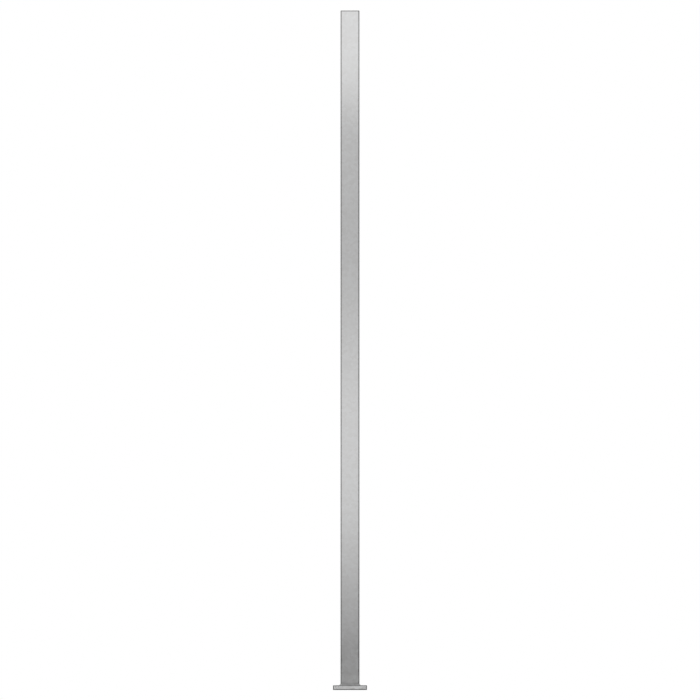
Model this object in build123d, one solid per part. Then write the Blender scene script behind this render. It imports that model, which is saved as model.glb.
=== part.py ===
from build123d import *
import os

# A square steel fence post: a cold-formed tube welded to a bolt-down base plate,
# closed at the top by a push-in plastic cap.
# Millimetres, +Z up. The origin is the middle of the base plate's underside.

# Whole post
overall_height = 1800.0  # underside of the base plate to the top of the cap

# Tube
tube_width = 50.0  # across the flats
tube_wall = 2.0
tube_bend_radius = 2.0  # inside the rounded corners

# Base plate
plate_margin = 20.0  # from the tube's face to the plate's edge
plate_thickness = 12.5
plate_corner_radius = 3.0
plate_edge_radius = 1.0  # worn off the sawn arrises before galvanising
bolt_hole_diameter = 11.0  # clears a 10 mm anchor bolt
bolt_edge_distance = 11.0  # from a hole's centre to the plate's edge
hole_rim_chamfer = 0.5
drain_diameter = 20.0  # lets molten zinc, and later water, out of the tube

# Fillet weld round the tube's foot
weld_leg = 3.0
weld_bulge = 0.4  # how far the bead's face swells past a flat one

# Cap
cap_head_thickness = 2.0
cap_edge_radius = 1.0
plug_wall = 2.0
plug_inner_radius = 1.0
plug_lead_chamfer = 1.0
fin_count = 3
fin_pitch = 6.0
fin_thickness = 1.6
fin_reach = 2.4  # how far a fin stands out of the plug
fin_slope = 30.0  # degrees, on the underside, so that the plug can be driven in
fin_clearance = 0.1  # between a fin's tip and the tube

# Sizes that follow
tube_corner_radius = tube_bend_radius + tube_wall
bore_width = tube_width - 2 * tube_wall
plate_width = tube_width + 2 * plate_margin
bolt_spacing = plate_width - 2 * bolt_edge_distance
tube_length = overall_height - plate_thickness - cap_head_thickness
tube_top = plate_thickness + tube_length
fin_width = bore_width - 2 * fin_clearance
fin_corner_radius = tube_bend_radius - fin_clearance
plug_width = fin_width - 2 * fin_reach
plug_depth = fin_pitch * (fin_count + 1)


def square(width, radius):
    """A square outline with rounded corners, centred on the post's axis."""
    return RectangleRounded(width, width, radius)


def make_post_tube():
    """The square hollow section, standing on the base plate."""
    section = square(tube_width, tube_corner_radius) - square(bore_width, tube_bend_radius)
    return Pos(Z=plate_thickness) * extrude(section, tube_length)


def make_base_plate():
    """Flat plate with softened edges, four bolt holes and a drain hole under the tube."""
    plate = extrude(square(plate_width, plate_corner_radius), plate_thickness)
    rims = plate.faces().sort_by(Axis.Z)[0].edges() + plate.faces().sort_by(Axis.Z)[-1].edges()
    plate = fillet(rims, plate_edge_radius)

    hole = Pos(Z=plate_thickness / 2) * Cylinder(bolt_hole_diameter / 2, plate_thickness)
    drain = Pos(Z=plate_thickness / 2) * Cylinder(drain_diameter / 2, plate_thickness)
    plate -= GridLocations(bolt_spacing, bolt_spacing, 2, 2) * hole
    plate -= drain
    return chamfer(plate.edges().filter_by(GeomType.CIRCLE).filter_by(is_hole_rim), hole_rim_chamfer)


def is_hole_rim(edge):
    """True for the full circles where a hole meets the plate's faces, not for its rounded corners."""
    return edge.is_closed


def make_foot_weld():
    """A convex fillet bead, swept once round the tube where it stands on the plate."""
    path = (Pos(Z=plate_thickness) * square(tube_width, tube_corner_radius)).wire()
    start, along = path @ 0, path % 0
    outward = along.cross(Vector(0, 0, 1))
    if outward.dot(start) < 0:
        outward = -outward
    toe = (weld_leg, 0)
    root = (0, 0)
    top = (0, weld_leg)
    crown = weld_leg / 2 + weld_bulge / 2**0.5
    profile = make_face([Line(root, toe), ThreePointArc(toe, (crown, crown), top), Line(top, root)])
    return sweep(Plane(start, x_dir=outward, z_dir=outward.cross(Vector(0, 0, 1))) * profile, path)


def make_fin():
    """One barbed fin of the plug, flat on top and sloping in underneath, with its top at Z = 0."""
    return extrude(square(fin_width, fin_corner_radius), -fin_thickness, taper=fin_slope)


def make_post_cap():
    """A moulded cap: a flat head the size of the tube, over a hollow plug with rows of fins."""
    head = extrude(square(tube_width, tube_corner_radius), cap_head_thickness)
    head = fillet(head.faces().sort_by(Axis.Z)[-1].edges(), cap_edge_radius)

    plug = extrude(square(plug_width, plug_inner_radius + plug_wall), -plug_depth)
    plug = chamfer(plug.faces().sort_by(Axis.Z)[0].edges(), plug_lead_chamfer)
    hollow = extrude(square(plug_width - 2 * plug_wall, plug_inner_radius), -plug_depth)
    fins = [Pos(Z=-fin_pitch * (row + 1)) * make_fin() for row in range(fin_count)]
    return Pos(Z=tube_top) * (head + plug + fins - hollow)


pieces = {
    "post_tube": make_post_tube(),
    "base_plate": make_base_plate(),
    "foot_weld": make_foot_weld(),
    "post_cap": make_post_cap(),
}

os.makedirs("parts", exist_ok=True)
for name, piece in pieces.items():
    export_step(piece, f"parts/{name}.step")
    print(name, "volume", round(piece.volume), "mm3")
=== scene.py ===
# %% [markdown]
# This lesson dresses a bolt-down fence post. The real post is a square steel tube, welded to a flat
# plate, dipped in molten zinc and closed with a plastic cap. Its construction comes ready made from
# the packed model, so only the weld's ripples are modelled here, and the rest gets its finish.
# Blender's unit is the metre, and the post stands on the floor at z = 0.

# %% Load the packed model
import math

import bmesh
import bpy
from mathutils import Matrix, Vector, noise


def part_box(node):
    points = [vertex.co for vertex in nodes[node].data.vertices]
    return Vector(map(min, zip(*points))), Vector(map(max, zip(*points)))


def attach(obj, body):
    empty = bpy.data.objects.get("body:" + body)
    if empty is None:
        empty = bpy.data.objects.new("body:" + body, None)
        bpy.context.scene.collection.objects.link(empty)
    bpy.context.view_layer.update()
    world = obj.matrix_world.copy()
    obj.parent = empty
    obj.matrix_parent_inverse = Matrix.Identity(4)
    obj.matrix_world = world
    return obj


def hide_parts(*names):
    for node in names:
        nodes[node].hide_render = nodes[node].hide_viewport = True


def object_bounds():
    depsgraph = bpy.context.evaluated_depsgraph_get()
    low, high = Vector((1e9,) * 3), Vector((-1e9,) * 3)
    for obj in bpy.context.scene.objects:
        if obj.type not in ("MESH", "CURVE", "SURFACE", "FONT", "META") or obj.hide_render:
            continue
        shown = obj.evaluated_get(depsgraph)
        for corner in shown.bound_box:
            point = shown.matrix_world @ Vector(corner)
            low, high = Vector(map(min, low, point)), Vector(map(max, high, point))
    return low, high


MM = 0.001
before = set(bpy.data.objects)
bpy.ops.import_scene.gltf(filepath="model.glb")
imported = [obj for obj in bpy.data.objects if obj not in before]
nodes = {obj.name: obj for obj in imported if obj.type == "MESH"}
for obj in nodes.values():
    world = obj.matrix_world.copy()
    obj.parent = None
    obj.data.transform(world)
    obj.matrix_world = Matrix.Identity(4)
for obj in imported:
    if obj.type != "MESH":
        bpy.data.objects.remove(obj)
cad_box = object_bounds()
for name in sorted(nodes):
    low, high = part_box(name)
    print(name, "is", [round(length / MM, 1) for length in high - low], "mm")

# %% [markdown]
# The picture is a drawn front elevation: the eye is level with the post and nothing gets smaller
# with distance. A long lens would only come near to that, so the camera is orthographic. Its scale
# follows from the post's height in the picture and its height in the model.

# %% Camera
picture_px = 700
post_top_px = 10.55
post_foot_px = 690.0
camera_distance = 3.0

post_height = cad_box[1].z - cad_box[0].z
metres_per_px = post_height / (post_foot_px - post_top_px)
camera_data = bpy.data.cameras.new("elevation_camera")
camera_data.type = "ORTHO"
camera_data.ortho_scale = picture_px * metres_per_px
camera = bpy.data.objects.new("elevation_camera", camera_data)
camera.location = (0, -camera_distance, (post_foot_px - picture_px / 2) * metres_per_px)
camera.rotation_euler = (math.radians(90), 0, 0)

scene = bpy.context.scene
scene.collection.objects.link(camera)
scene.camera = camera
scene.view_settings.view_transform = "Standard"
print("one pixel is", round(metres_per_px / MM, 3), "mm, and the camera is at", tuple(camera.location))

# %% [markdown]
# A finish is a web of nodes, and a web is hard to read as code. This small class wraps a node's
# output, so that adding or multiplying two outputs adds the Math node that does it. Every other
# node comes from one method, which takes the node's type, its settings and what its sockets get.

# %% Shader helper
class Wire:
    """The output of a shader node. Sums of wires become Math nodes in the same tree."""

    def __init__(self, socket):
        self.socket = socket
        self.tree = socket.id_data

    @classmethod
    def node(cls, tree, kind, settings=None, sockets=None):
        """Adds a node, sets it up, and gives back its first output."""
        made = tree.nodes.new("ShaderNode" + kind)
        for name, value in (settings or {}).items():
            if name == "stops":
                cls.set_stops(made.color_ramp, value)
            else:
                setattr(made, name, value)
        for name, value in (sockets or {}).items():
            if isinstance(value, cls):
                tree.links.new(value.socket, made.inputs[name])
            else:
                made.inputs[name].default_value = value
        return cls(made.outputs[0]) if made.outputs else None

    @staticmethod
    def set_stops(ramp, stops):
        """Gives a colour ramp its stops, each a position and a level of grey."""
        while len(ramp.elements) < len(stops):
            ramp.elements.new(1.0)
        for element, (position, level) in zip(ramp.elements, stops):
            element.position = position
            element.color = (level, level, level, 1)

    def out(self, name):
        """Another output of the same node."""
        return Wire(self.socket.node.outputs[name])

    def math(self, operation, first, second):
        """A Math node on two wires, or on a wire and a number."""
        return Wire.node(self.tree, "Math", {"operation": operation}, {0: first, 1: second})

    def __add__(self, other):
        return self.math("ADD", self, other)

    __radd__ = __add__

    def __sub__(self, other):
        return self.math("SUBTRACT", self, other)

    def __rsub__(self, other):
        return self.math("SUBTRACT", other, self)

    def __mul__(self, other):
        return self.math("MULTIPLY", self, other)

    __rmul__ = __mul__

    def __abs__(self):
        return self.math("ABSOLUTE", self, 0.0)

    def smaller(self, other):
        return self.math("MINIMUM", self, other)

    def larger(self, other):
        return self.math("MAXIMUM", self, other)

    def rise(self, start, end):
        """0 up to start, 1 from end on, and a smooth slope between them."""
        settings = {"interpolation_type": "SMOOTHSTEP"}
        sockets = {"Value": self, "From Min": start, "From Max": end}
        return Wire.node(self.tree, "MapRange", settings, sockets)


reflected = [name for name in vars(Wire) if name.startswith("__r")]
print("wires can be summed, also with a number on the left:", reflected)

# %% [markdown]
# A Math node knows only single numbers, and a colour that goes through one comes out grey. So
# colours are blended by a Mix node, and a place is taken apart into its coordinates before any sum.

# %% Colours and places
def grey(level, warmth=0.0):
    """A nearly neutral colour, as linear red, green and blue."""
    return (level * (1 + warmth), level, level * (1 - warmth), 1)


def blend_colours(factor, first, second):
    """A Mix node for colours, whose colour sockets have numbers in place of names of their own."""
    made = Wire.node(factor.tree, "Mix", {"data_type": "RGBA"}, {0: factor, 6: first, 7: second})
    return Wire(made.socket.node.outputs[2])


def axes(place):
    """The three coordinates of a place, as wires."""
    parts = Wire.node(place.tree, "SeparateXYZ", {}, {"Vector": place})
    return parts.out("X"), parts.out("Y"), parts.out("Z")


def new_tree(owner):
    """An empty shader tree on a material or a world."""
    owner.use_nodes = True
    owner.node_tree.nodes.clear()
    return owner.node_tree


def new_finish(name):
    """A material with an empty tree, and a wire that carries the place on the piece."""
    finish = bpy.data.materials.new(name)
    return finish, Wire.node(new_tree(finish), "TexCoord").out("Object")


print("a middle grey is", grey(0.5))

# %% [markdown]
# The background is white paper. White that only the camera and the metal see adds no light to the
# post, so Light Path tells those rays apart from the ones that light a surface.

# %% World
sky_light = 0.55


def seen_rays(tree):
    """1 for a ray from the camera or off a shiny surface, 0 for one that lights something."""
    path = Wire.node(tree, "LightPath")
    mirrored = path.out("Is Glossy Ray").larger(path.out("Is Transmission Ray"))
    return path.out("Is Camera Ray").larger(mirrored)


world = bpy.data.worlds.new("white_paper")
scene.world = world
tree = new_tree(world)
strength = seen_rays(tree) * (1 - sky_light) + sky_light
paper = Wire.node(tree, "Background", {}, {"Color": grey(1.0), "Strength": strength})
Wire.node(tree, "OutputWorld", {}, {"Surface": paper})
print("the sky lights surfaces at", sky_light, "and is seen at 1")

# %% [markdown]
# A white floor would throw too much light up at the post. This one is a middle grey that glows by
# what it lacks of white, but only for the rays that see it. So it looks as white as the paper
# behind it and still goes grey in the post's shadow.

# %% Floor
floor_grey = 0.5
floor_white = 1.04  # a little over white, so that noise in the light doesn't show
floor_radius = 60.0
floor_sides = 64


def add_object(name, bm):
    """Turns a bmesh into a smooth-shaded object that sits at the origin."""
    mesh = bpy.data.meshes.new(name)
    bm.to_mesh(mesh)
    bm.free()
    mesh.shade_smooth()
    made = bpy.data.objects.new(name, mesh)
    scene.collection.objects.link(made)
    return made


bm = bmesh.new()
bmesh.ops.create_circle(bm, cap_ends=True, radius=floor_radius, segments=floor_sides)
floor = add_object("floor", bm)
floor_paint = bpy.data.materials.new("floor_paint")
tree = new_tree(floor_paint)
matt = Wire.node(tree, "BsdfDiffuse", {}, {"Color": grey(floor_grey)})
lift = Wire.node(tree, "Emission", {}, {"Strength": seen_rays(tree) * (floor_white - floor_grey)})
both = Wire.node(tree, "AddShader", {}, {0: matt, 1: lift})
Wire.node(tree, "OutputMaterial", {}, {"Surface": both})
floor.data.materials.append(floor_paint)
print("the floor is", 2 * floor_radius, "m across")

# %% [markdown]
# A wide, soft sun from the upper left gives the floor its shadow and the cap its modelling. It
# has no edge and no fall-off, so the paper stays evenly white. It is hidden from reflections, where
# it would be one hot spot. Sky and sun together light the floor at a strength of 1.

# %% Soft key lamp
key_tilt = math.radians(42)
key_turn = math.radians(-40)
key_softness = math.radians(50)

key_data = bpy.data.lights.new("soft_key", "SUN")
key_data.energy = (1 - sky_light) * math.pi / math.cos(key_tilt)
key_data.angle = key_softness
key = bpy.data.objects.new("soft_key", key_data)
key.rotation_euler = (key_tilt, 0, key_turn)
key.visible_glossy = False
scene.collection.objects.link(key)
print("key strength", round(key_data.energy, 2))

# %% [markdown]
# Zinc has no colour of its own to speak of: what shows on it is what stands round it. In the
# drawing the face is light at the top, greyer at chest height, light again at the knee and dark at
# the foot. So a tall round screen stands about the post, as a photographer would hang one, and
# only reflections see it.

# %% Tall screen
screen_radius = 0.4
screen_top = 2.4
screen_sides = 96

bm = bmesh.new()
bmesh.ops.create_circle(bm, cap_ends=False, radius=screen_radius, segments=screen_sides)
wall = bmesh.ops.extrude_edge_only(bm, edges=bm.edges[:])
raised = [item for item in wall["geom"] if isinstance(item, bmesh.types.BMVert)]
bmesh.ops.translate(bm, verts=raised, vec=(0, 0, screen_top))
screen = add_object("tall_screen", bm)
screen.visible_camera = False
screen.visible_diffuse = False
screen.visible_transmission = False
screen.visible_shadow = False
print("the screen has", len(screen.data.polygons), "strips")

# %% [markdown]
# The screen's brightness changes with its height, through a colour ramp. Satin metal blurs what it
# mirrors, so the tones overshoot a little at both ends of the upper slope, where the drawing has
# sharp turns. The screen is brighter in front than behind, so that two faces of the post that are
# seen together differ in tone. It is dimmer on the diagonals, which the tube's bends mirror, and
# that draws the edges of the faces.

# %% Glow of the screen
screen_strength = 1.123
front_bias = 0.2
bright_side = Vector((-0.3, -0.95, 0))
diagonal_dimming = 0.35
# height in metres, and brightness there as a share of the strength
screen_tones = [
    (0.0, 0.0), (0.1, 0.35), (0.48, 0.79), (0.74, 0.81), (1.17, 0.57),
    (1.37, 0.62), (1.48, 0.575), (1.63, 0.97), (1.74, 0.93),
]

screen_glow, place = new_finish("screen_glow")
tree = place.tree
x, y, z = axes(place)
stops = [(height / screen_top, level) for height, level in screen_tones]
tone = Wire.node(tree, "ValToRGB", {"stops": stops}, {"Fac": z * (1 / screen_top)})
towards = {0: place, 1: bright_side / screen_radius}
facing = Wire.node(tree, "VectorMath", {"operation": "DOT_PRODUCT"}, towards).out("Value")
diagonal = x * y * (2 / screen_radius ** 2)
dimmed = 1 - diagonal * diagonal * diagonal_dimming
strength = (facing * front_bias + 1) * dimmed * screen_strength
light = Wire.node(tree, "VectorMath", {"operation": "SCALE"}, {0: tone, "Scale": strength})
glow = Wire.node(tree, "Emission", {}, {"Color": light})
Wire.node(tree, "OutputMaterial", {}, {"Surface": glow})
screen.data.materials.append(screen_glow)
print("the screen has", len(stops), "tones")

# %% [markdown]
# Hot-dip zinc is a satin grey metal that sets in crystals, each a shade lighter or darker than its
# neighbour, under slow clouds of tone. A picture could hold that, but noise on Object coordinates
# needs no picture, has no seams, and keeps its scale on every piece. Three helpers make the noise:
# plain lumps, lumps drawn out along an axis, and a place that noise has pushed about.

# %% Noise
def lumps(place, size, detail=3.0):
    """Noise from 0 to 1, in lumps of about that size."""
    sockets = {"Vector": place, "Scale": 1 / size, "Detail": detail}
    return Wire.node(place.tree, "TexNoise", {}, sockets)


def streaks(place, size, stretch):
    """Noise that is drawn out along the axes on which stretch is large."""
    scale = [1 / (size * along) for along in stretch]
    drawn = Wire.node(place.tree, "VectorMath", {"operation": "MULTIPLY"}, {0: place, 1: scale})
    return lumps(drawn, size=1.0, detail=2.0)


def stray(place, size, reach):
    """The same place, pushed about by noise of that size and by no more than reach."""
    push = Wire.node(place.tree, "TexNoise", {"normalize": False}, {"Vector": place, "Scale": 1 / size})
    sockets = {0: push.out("Color"), 1: [reach] * 3, 2: place}
    return Wire.node(place.tree, "VectorMath", {"operation": "MULTIPLY_ADD"}, sockets)


print("noise helpers:", [helper.__name__ for helper in (lumps, streaks, stray)])

# %% [markdown]
# The crystals are patches of one tone each, with ragged borders. Noise alone has no borders, so
# they are Voronoi cells, and pushing the cells' places about frays their straight edges.

# %% Zinc crystals
crystal_size = 7 * MM
crystal_fray = 4 * MM


def crystals(place):
    """The tone of the crystal at a place, from -0.5 to 0.5."""
    frayed = stray(place, crystal_fray, crystal_fray / 2)
    cells = Wire.node(place.tree, "TexVoronoi", {}, {"Vector": frayed, "Scale": 1 / crystal_size})
    channels = Wire.node(place.tree, "SeparateColor", {}, {"Color": cells.out("Color")})
    return channels.out("Red") - 0.5


print("crystals of about", round(crystal_size / MM), "mm")

# %% [markdown]
# One function makes the finish of every zinc piece, so that they match. What differs is handed in,
# such as where the piece is darker and what marks it has. On bends and arrises the darker grey is
# painted shade, which is what draws their edges. A metal's tint at grazing angles has a
# socket of its own, and a dark one there keeps the outline crisp against the paper.

# %% Zinc finish
cloud_size = 90 * MM
peel_size = 5 * MM
# how far crystals, clouds and marks shift the tone, within the spread of the coat
crystal_tone = 0.7
cloud_tone = 0.5
mark_tone = 0.3
coat_spread = 0.07  # lightest and darkest coat, as a share of the tone
dark_warmth = 0.004
light_warmth = -0.006
coat_unevenness = 0.06  # of the roughness
darkened_gloss = 0.08
# how even the painted darkening is, and how far clouds and peel break it up
darkening_even = 0.8
darkening_cloudy = 0.4
darkening_peeled = 0.3
# depth of the coat's peel, and the height of crystals and marks beside it
peel_depth = 0.05 * MM
peel_strength = 0.6
crystal_relief = 0.3
mark_relief = 0.4
grazing_tint = grey(0.2)


def zinc(name, tone, roughness, darkened_tone, darkened_parts, marks):
    """A galvanised finish. The two functions handed in turn a place into masks from 0 to 1: darker
    parts, and marks.
    """
    finish, place = new_finish(name)
    tree = place.tree
    crystal = crystals(place)
    cloud = lumps(place, cloud_size) - 0.5
    peel = lumps(place, peel_size)
    mark = marks(place) - 0.5
    # the painted shade of bends and arrises, and the darker weld valleys, broken up by clouds and peel
    darkening = darkened_parts(place) * (cloud * darkening_cloudy + peel * darkening_peeled + darkening_even)

    shade = crystal * crystal_tone + cloud * cloud_tone + mark * mark_tone + 0.5
    darkest = grey(tone * (1 - coat_spread), dark_warmth)
    lightest = grey(tone * (1 + coat_spread), light_warmth)
    coat = blend_colours(shade, darkest, lightest)
    uneven = (crystal + cloud + mark) * coat_unevenness - darkening * darkened_gloss
    height = peel + crystal * crystal_relief + mark * mark_relief
    relief = {"Height": height, "Strength": peel_strength, "Distance": peel_depth}
    metal = Wire.node(tree, "BsdfPrincipled", {}, {
        "Base Color": blend_colours(darkening, coat, grey(darkened_tone)),
        "Metallic": 1.0,
        "Roughness": uneven + roughness,
        "Normal": Wire.node(tree, "Bump", {}, relief),
        "Specular Tint": grazing_tint,
    })
    Wire.node(tree, "OutputMaterial", {}, {"Surface": metal})
    print(name, "has", len(tree.nodes), "nodes")
    return finish


print("clouds of", round(cloud_size / MM), "mm over a peel of", round(peel_size / MM), "mm")

# %% [markdown]
# The tube's faces carry faint lines from the forming rolls, which run the whole length of it. Its
# bends get painted shade, which draws their edges, and they are where both x and y are near their
# largest, so the smaller of the two finds them. The colour is darker over the last hand's breadth
# above the plate.

# %% Tube finish
tube_low, tube_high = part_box("post_tube")
tube_half = tube_high.x
bend_radius = 4 * MM
bend_start = tube_half - bend_radius
# where the painted shade on the bends starts, and where it is full
edge_shade_start = bend_start + 0.9 * MM
edge_shade_full = bend_start + 2.7 * MM
# the colour is darker over this height above the foot, by this share
dark_foot_height = 70 * MM
dark_foot_share = 0.13
roll_spacing = 1.2 * MM
roll_stretch = 400


def tube_edge_shade_and_dark_foot(place):
    """Painted shade on the bends, and the darker foot."""
    x, y, z = axes(place)
    bends = abs(x).smaller(abs(y)).rise(edge_shade_start, edge_shade_full)
    dark_foot = (tube_low.z - z).rise(-dark_foot_height, 0.0) * dark_foot_share
    return bends.larger(dark_foot)


def roll_lines(place):
    """Lines along the tube, on all four faces."""
    return streaks(place, roll_spacing, (1, 1, roll_stretch))


# the darker tone here is the painted shade on the bends
tube_zinc = zinc(
    "tube_zinc", tone=0.6, roughness=0.355, darkened_tone=0.16, darkened_parts=tube_edge_shade_and_dark_foot, marks=roll_lines
)
nodes["post_tube"].material_slots[0].material = tube_zinc

# %% [markdown]
# The plate is hot-rolled flat, sawn to length, and the saw leaves upright lines on its edges. Its
# arrises get painted shade, which draws their edges. An arris is where a place is close to two of
# the plate's outer faces at once, so the smaller of two nearnesses finds it. Arrises are knocked off
# by hand, so the places of the painted shade stray a little. The lowest few millimetres get painted
# shade too, where the plate meets the floor.

# %% Plate finish
plate_low, plate_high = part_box("base_plate")
plate_half = plate_high.x
plate_middle = (plate_low.z + plate_high.z) / 2
plate_half_thickness = (plate_high.z - plate_low.z) / 2
# how far inside the faces the painted shade starts, and how far inside it is full
rim_start, rim_full = 2.64 * MM, 0.44 * MM
corner_start, corner_full = 3.0 * MM, 1.05 * MM
foot_shade_start, foot_shade_full = 3.96 * MM, 1.32 * MM
arris_stray = 0.5 * MM
arris_lumps = 14 * MM
saw_spacing = 1.0 * MM
saw_stretch = 30


def plate_edge_and_foot_shade(place):
    """Painted shade on the rims and corners, and at the foot."""
    x, y, z = axes(stray(place, arris_lumps, arris_stray))
    past_x = abs(x) - plate_half
    past_y = abs(y) - plate_half
    past_face = abs(z - plate_middle) - plate_half_thickness
    rim = past_x.larger(past_y).smaller(past_face).rise(-rim_start, -rim_full)
    corners = past_x.smaller(past_y).rise(-corner_start, -corner_full)
    foot_shade = (plate_low.z - z).rise(-foot_shade_start, -foot_shade_full)
    return rim.larger(corners).larger(foot_shade)


def saw_lines(place):
    """Short upright lines on the plate's edges."""
    return streaks(place, saw_spacing, (1, 1, saw_stretch))


# The plate's zinc is paler than the tube's: painted light that makes up for the dark lower screen it
# mirrors. Its darker tone is the painted shade on arrises and foot.
plate_zinc = zinc(
    "plate_zinc", tone=0.72, roughness=0.445, darkened_tone=0.14, darkened_parts=plate_edge_and_foot_shade, marks=saw_lines
)
nodes["base_plate"].material_slots[0].material = plate_zinc

# %% [markdown]
# A hand-made fillet weld is a row of overlapping crescents, one for each dab of the rod. Bump would
# leave its outline smooth, so the bead is modelled. Its section has two straight legs, on the tube
# and on the plate, and a bulging crown between their ends: one vertex, spun from toe to top.

# %% Weld section
weld_low, weld_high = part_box("foot_weld")
weld_foot = weld_low.z
weld_leg = weld_high.z - weld_low.z
weld_bulge = 0.25 * MM  # flatter than the plain bead, because the crescents stand on it
crown_steps = 10


def crown_arc(bm):
    """The section's convex face, from the toe on the plate to the top on the tube."""
    chord = weld_leg * math.sqrt(2)
    radius = (chord ** 2 / 4 + weld_bulge ** 2) / (2 * weld_bulge)
    sweep = 2 * math.asin(chord / 2 / radius)
    back = (radius - weld_bulge) / math.sqrt(2)
    centre = (-bend_start, -tube_half - weld_leg / 2 + back, weld_foot + weld_leg / 2 - back)
    toe = bm.verts.new((-bend_start, -tube_half - weld_leg, weld_foot))
    bmesh.ops.spin(bm, geom=[toe], cent=centre, axis=(-1, 0, 0), angle=sweep, steps=crown_steps)
    return bm.verts[:]


def weld_section(bm):
    """The closed outline of the bead, at the left end of the tube's front."""
    arc = crown_arc(bm)
    root = bm.verts.new((-bend_start, -tube_half, weld_foot))
    bm.edges.new((root, min(arc, key=lambda vert: vert.co.z)))
    bm.edges.new((root, max(arc, key=lambda vert: vert.co.z)))
    return bm.verts[:] + bm.edges[:]


bm = bmesh.new()
section = weld_section(bm)
print("the weld's section has", len(bm.edges), "edges")

# %% [markdown]
# Spin sweeps the section. With a step and no angle it goes straight, along the front of the tube,
# and with an angle it goes round the corner. There are several steps to each crescent, so that
# the crescents can be pushed out of the bead afterwards.

# %% One side of the bead
ripples = 26
steps_per_ripple = 6
side_run = 2 * bend_start
turn_run = (bend_radius + weld_leg / 2) * math.pi / 2
bead_run = side_run + turn_run
side_steps = round(ripples * steps_per_ripple * side_run / bead_run)
turn_steps = ripples * steps_per_ripple - side_steps

step = (side_run / side_steps, 0, 0)
run = bmesh.ops.spin(bm, geom=section, dvec=step, axis=(0, 0, 1), steps=side_steps)
pivot = (bend_start, -bend_start, weld_foot)
end = run["geom_last"]
bmesh.ops.spin(bm, geom=end, cent=pivot, axis=(0, 0, 1), angle=math.pi / 2, steps=turn_steps)
bmesh.ops.recalc_face_normals(bm, faces=bm.faces[:])
print("one side of the bead:", side_steps, "straight steps and", turn_steps, "round the corner")

# %% [markdown]
# Each crescent is a half wave, pushed out along the bead's normals. It is highest at the crown and
# nothing at the toes, so that the bead stays seated, and the crown trails behind the toes as
# cooling metal does. The valleys are kept as an attribute of the mesh, which the finish reads.

# %% Crescents
ripple_height = 0.38 * MM
crescent_trail = 1.3 * MM
valley_narrowing = 1.6
valley_rise = 2  # how fast a valley deepens from the toes up


def along_bead(point):
    """How far round its side and corner a point is, from 0 to 1."""
    turned = 0.0
    if point.x > bend_start:
        turned = math.atan2(point.x - bend_start, -bend_start - point.y) / (math.pi / 2)
    return (min(point.x, bend_start) + bend_start + turn_run * turned) / bead_run


def crown_share(point):
    """1 at the bead's crown and 0 at its toes."""
    up = (point.z - weld_foot) / weld_leg
    return math.sin(math.pi * min(max(up, 0.0), 1.0))


bm.normal_update()
valley = bm.verts.layers.float.new("valley")
for vert in bm.verts:
    crown = crown_share(vert.co)
    behind = crown * crescent_trail / bead_run
    wave = abs(math.sin(math.pi * ripples * (along_bead(vert.co) - behind)))
    vert[valley] = max(0.0, 1 - valley_narrowing * wave) * min(1.0, valley_rise * crown)
    vert.co += vert.normal * (crown * ripple_height * (wave - 0.5))
print("one side of the bead has", len(bm.faces), "faces")

# %% [markdown]
# Three turned copies close the ring, and their ends are merged. Slow noise then swells and thins
# the whole bead, so that no two sides are the same.

# %% Bead all round
swell_size = 9 * MM
swell_height = 0.15 * MM
lump_size = 3 * MM
lump_share = 0.6  # of the swell's height
merge_distance = 0.01 * MM

one_side = bm.verts[:] + bm.edges[:] + bm.faces[:]
for side in range(1, 4):
    copy = bmesh.ops.duplicate(bm, geom=one_side)["geom"]
    copied = [item for item in copy if isinstance(item, bmesh.types.BMVert)]
    turn = Matrix.Rotation(math.radians(90 * side), 3, "Z")
    bmesh.ops.rotate(bm, verts=copied, cent=(0, 0, 0), matrix=turn)
bmesh.ops.remove_doubles(bm, verts=bm.verts[:], dist=merge_distance)
bmesh.ops.recalc_face_normals(bm, faces=bm.faces[:])
bm.normal_update()
for vert in bm.verts:
    drift = noise.noise(vert.co / swell_size) + lump_share * noise.noise(vert.co / lump_size)
    vert.co += vert.normal * (crown_share(vert.co) * swell_height * drift)
foot_bead = add_object("foot_bead", bm)
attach(foot_bead, "root")
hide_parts("foot_weld")
print("the bead has", len(foot_bead.data.polygons), "faces")

# %% [markdown]
# The bead is dipped with the rest, so it has the same zinc, in a paler tone that is painted light
# lifting it out of the shade at the foot. The coat is darker in the valleys, and an Attribute node
# reads them from the mesh.

# %% Weld finish
bead_grain = 1.5 * MM


def bead_valleys(place):
    """The valleys between the crescents."""
    return Wire.node(place.tree, "Attribute", {"attribute_name": "valley"}).out("Fac")


def bead_specks(place):
    """Fine grain in the coat."""
    return lumps(place, bead_grain, detail=2.0)


# a paler tone than the tube's, painted light against the shade at the foot, and darker valleys
weld_zinc = zinc(
    "weld_zinc", tone=0.62, roughness=0.425, darkened_tone=0.3, darkened_parts=bead_valleys, marks=bead_specks
)
foot_bead.data.materials.append(weld_zinc)

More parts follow.
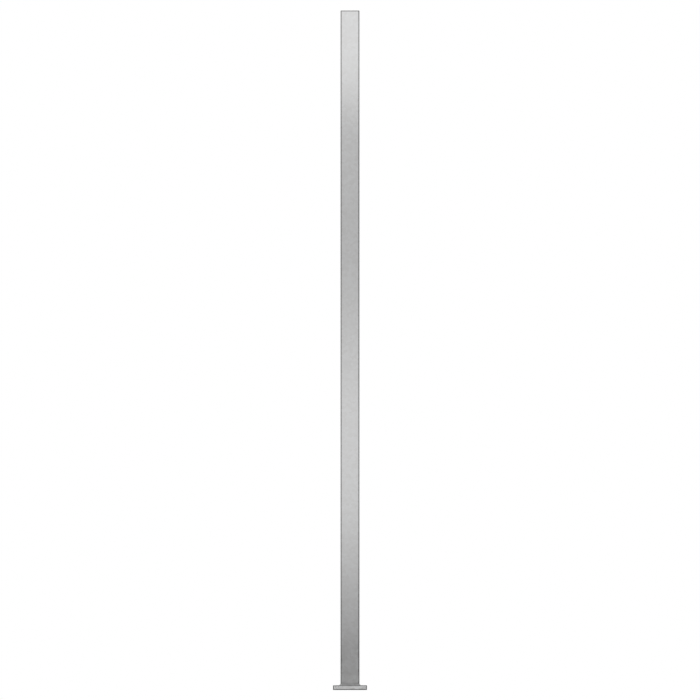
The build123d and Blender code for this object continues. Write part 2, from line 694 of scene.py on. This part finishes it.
# %% [markdown]
# The cap is moulded in dark grey polyethylene. Its tone drifts a little, the rim is a shade paler
# where it was knocked in with a mallet, and the top has faint scuffs. They could be painted on an
# unwrapped mesh, but masks that read the place need no unwrapping.

# %% Cap marks
cap_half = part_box("post_cap")[1].x
drift_size = 14 * MM
pale_start = cap_half - 2.2 * MM
pale_full = cap_half - 0.6 * MM
scuff_width = 2.5 * MM
scuff_stretch = 5
scuff_start, scuff_full = 0.58, 0.72  # levels of the noise
scuff_paleness = 0.35  # beside the rim's

cap_plastic, place = new_finish("cap_plastic")
tree = place.tree
x, y = axes(place)[:2]
drift = lumps(place, drift_size)
rim = abs(x).larger(abs(y)).rise(pale_start, pale_full)
scuffs = streaks(place, scuff_width, (1, scuff_stretch, 1)).rise(scuff_start, scuff_full)
pale = (rim * drift).larger(scuffs * scuff_paleness)
print("the cap's marks take", len(tree.nodes), "nodes")

# %% [markdown]
# The mould's spark-eroded grain keeps the plastic from shining. It is far smaller than the piece,
# so a bump is enough for it, and nobody would miss it in the outline.

# %% Cap finish
cap_grey = 0.08
cap_dark = grey(0.85 * cap_grey)
cap_light = grey(1.12 * cap_grey)
cap_rubbed = grey(1.9 * cap_grey)
drift_low, drift_high = 0.3, 0.7  # levels of the noise
cap_roughness = 0.4
drift_roughness = 0.2
scuff_roughness = 0.1
plastic_ior = 1.5
grain_size = 0.7 * MM
grain_depth = 0.12 * MM

body = blend_colours(drift.rise(drift_low, drift_high), cap_dark, cap_light)
grain = {"Height": lumps(place, grain_size, detail=2.0), "Distance": grain_depth}
plastic = Wire.node(tree, "BsdfPrincipled", {}, {
    "Base Color": blend_colours(pale, body, cap_rubbed),
    "Roughness": drift * drift_roughness + scuffs * scuff_roughness + cap_roughness,
    "IOR": plastic_ior,
    "Normal": Wire.node(tree, "Bump", {}, grain),
})
Wire.node(tree, "OutputMaterial", {}, {"Surface": plastic})
nodes["post_cap"].material_slots[0].material = cap_plastic
print("cap_plastic has", len(tree.nodes), "nodes")

# %% [markdown]
# The dressed post has to stay the size that it was made.
